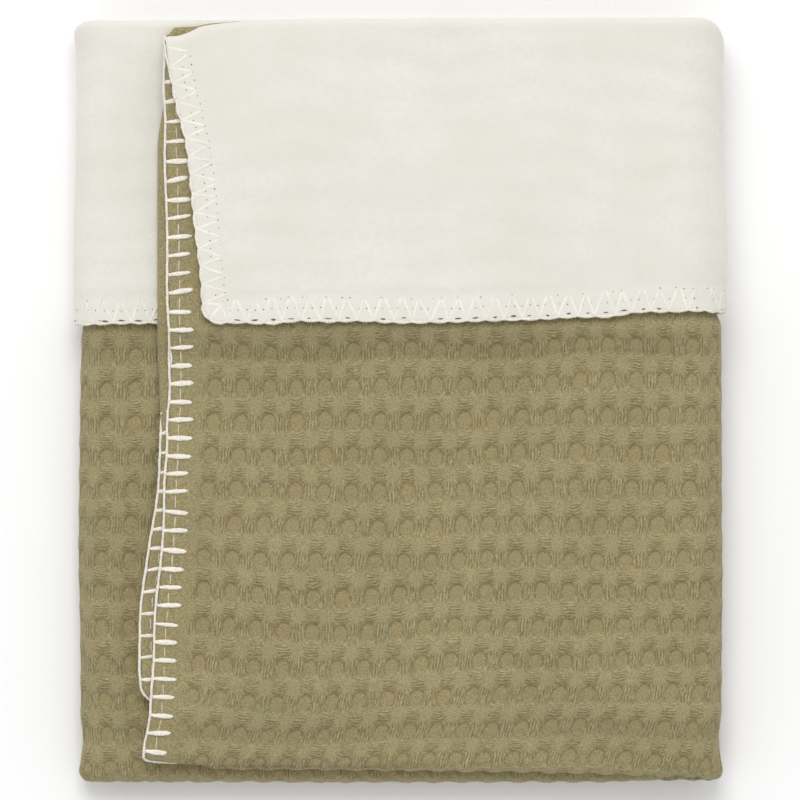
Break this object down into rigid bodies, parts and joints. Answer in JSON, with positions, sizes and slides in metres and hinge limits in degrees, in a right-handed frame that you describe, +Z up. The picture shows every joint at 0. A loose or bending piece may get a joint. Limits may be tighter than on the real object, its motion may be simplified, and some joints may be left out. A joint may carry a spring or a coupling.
{
  "type": "waffle weave cotton blanket",
  "caption": "Lined cotton crib blanket with a waffle weave face, lying folded flat, one end turned down as a band that shows its brushed lining.",
  "frame": {"origin": "centre of the folded blanket's underside, on the ground", "axes": "+Z up from the ground, +Y along the blanket's length towards the end with the turned-down band, +X across it, from the front flap's free edge towards the fold that the flap comes from"},
  "size_m": [0.2556, 0.2996, 0.0405],
  "materials": {
    "waffle_cotton": "matte",
    "brushed_lining": "matte",
    "stitch_yarn": "matte"
  },
  "bodies": {
    "root": {"waffle_face": "waffle_cotton", "lining": "brushed_lining"}
  },
  "joints": []
}
